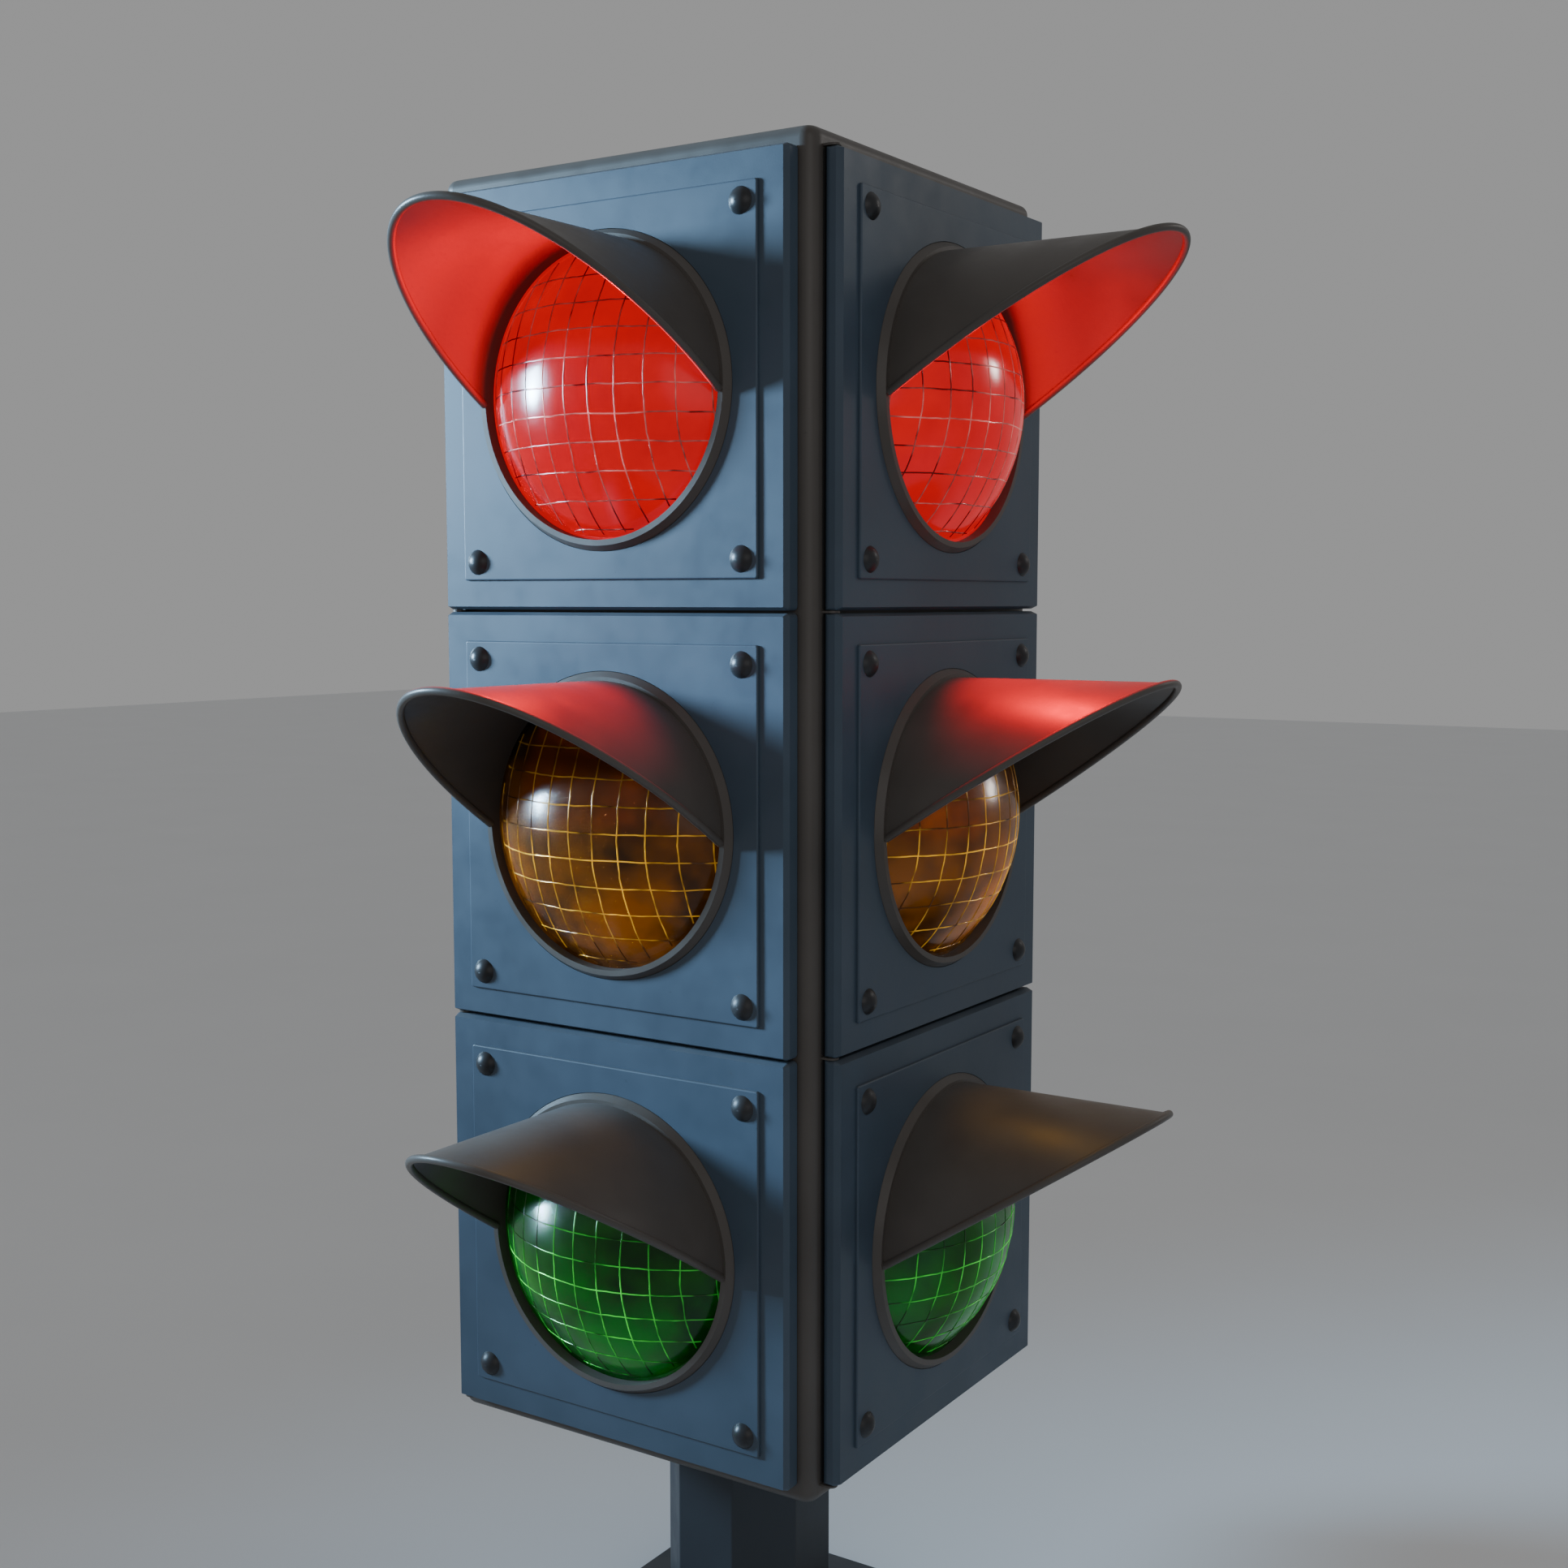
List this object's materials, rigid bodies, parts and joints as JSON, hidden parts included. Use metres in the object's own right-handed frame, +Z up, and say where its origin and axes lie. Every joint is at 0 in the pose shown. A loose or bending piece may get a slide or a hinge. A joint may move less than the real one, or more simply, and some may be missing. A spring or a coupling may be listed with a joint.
{
  "type": "traffic signal head",
  "caption": "Two-way traffic signal head: a square column with red, amber and green hinged lamp sections on two sides, domed gridded lenses, cutaway visors and a flanged post.",
  "frame": {"origin": "middle of the post's base flange, on its underside", "axes": "+Z up the post, -Y out of the front face, +X out of the right face seen from the front"},
  "size_m": [0.5248, 0.5248, 1.1742],
  "materials": {
    "core_paint": "satin charcoal paint",
    "post_paint": "satin slate paint",
    "door_paint": "satin slate blue paint",
    "visor_paint": "satin charcoal moulding",
    "lens_red": "glossy red glass, lit",
    "lens_amber": "glossy amber glass, unlit",
    "lens_green": "glossy green glass, unlit",
    "reflector_metal": "polished reflector",
    "holder_moulding": "glazed ceramic white",
    "lamp_glass": "clear lamp glass",
    "seal_rubber": "black rubber",
    "spring_steel": "bright spring steel",
    "screw_paint": "dark plated steel",
    "fastener_steel": "plated steel",
    "terminal_moulding": "moulded plastic"
  },
  "bodies": {
    "core": {"core_housing": "core_paint", "top_cover": "core_paint", "bottom_cover": "core_paint", "mounting_post": "post_paint", "reflector_screws": "fastener_steel", "door_seals": "seal_rubber", "door_catches": "spring_steel", "hinge_brackets": "core_paint", "cover_screws": "fastener_steel", "post_bolts": "fastener_steel", "terminal_block": "terminal_moulding", "reflector_green_front": "reflector_metal", "reflector_green_right": "reflector_metal", "reflector_amber_front": "reflector_metal", "reflector_amber_right": "reflector_metal", "reflector_red_front": "reflector_metal", "reflector_red_right": "reflector_metal", "lamp_holder_green_front": "holder_moulding", "lamp_holder_green_right": "holder_moulding", "lamp_holder_amber_front": "holder_moulding", "lamp_holder_amber_right": "holder_moulding", "lamp_holder_red_front": "holder_moulding", "lamp_holder_red_right": "holder_moulding", "lamp_green_front": "lamp_glass", "lamp_green_right": "lamp_glass", "lamp_amber_front": "lamp_glass", "lamp_amber_right": "lamp_glass", "lamp_red_front": "lamp_glass", "lamp_red_right": "lamp_glass"},
    "section_green_front": {"door_green_front": "door_paint", "lens_green_front": "lens_green", "visor_green_front": "visor_paint", "lens_plate_green_front": "door_paint", "plate_screws_green_front": "screw_paint"},
    "section_green_right": {"door_green_right": "door_paint", "lens_green_right": "lens_green", "visor_green_right": "visor_paint", "lens_plate_green_right": "door_paint", "plate_screws_green_right": "screw_paint"},
    "section_amber_front": {"door_amber_front": "door_paint", "lens_amber_front": "lens_amber", "visor_amber_front": "visor_paint", "lens_plate_amber_front": "door_paint", "plate_screws_amber_front": "screw_paint"},
    "section_amber_right": {"door_amber_right": "door_paint", "lens_amber_right": "lens_amber", "visor_amber_right": "visor_paint", "lens_plate_amber_right": "door_paint", "plate_screws_amber_right": "screw_paint"},
    "section_red_front": {"door_red_front": "door_paint", "lens_red_front": "lens_red", "visor_red_front": "visor_paint", "lens_plate_red_front": "door_paint", "plate_screws_red_front": "screw_paint"},
    "section_red_right": {"door_red_right": "door_paint", "lens_red_right": "lens_red", "visor_red_right": "visor_paint", "lens_plate_red_right": "door_paint", "plate_screws_red_right": "screw_paint"}
  },
  "joints": [
    {"name": "hinge_green_front", "type": "hinge", "parent": "core", "child": "section_green_front", "pos_m": [-0.149, -0.1715, 0.383], "axis": [0, 0, -1], "range_deg": [0, 90]},
    {"name": "hinge_green_right", "type": "hinge", "parent": "core", "child": "section_green_right", "pos_m": [0.1715, -0.149, 0.383], "axis": [0, 0, -1], "range_deg": [0, 90]},
    {"name": "hinge_amber_front", "type": "hinge", "parent": "core", "child": "section_amber_front", "pos_m": [-0.149, -0.1715, 0.693], "axis": [0, 0, -1], "range_deg": [0, 90]},
    {"name": "hinge_amber_right", "type": "hinge", "parent": "core", "child": "section_amber_right", "pos_m": [0.1715, -0.149, 0.693], "axis": [0, 0, -1], "range_deg": [0, 90]},
    {"name": "hinge_red_front", "type": "hinge", "parent": "core", "child": "section_red_front", "pos_m": [-0.149, -0.1715, 1.003], "axis": [0, 0, -1], "range_deg": [0, 90]},
    {"name": "hinge_red_right", "type": "hinge", "parent": "core", "child": "section_red_right", "pos_m": [0.1715, -0.149, 1.003], "axis": [0, 0, -1], "range_deg": [0, 90]}
  ]
}
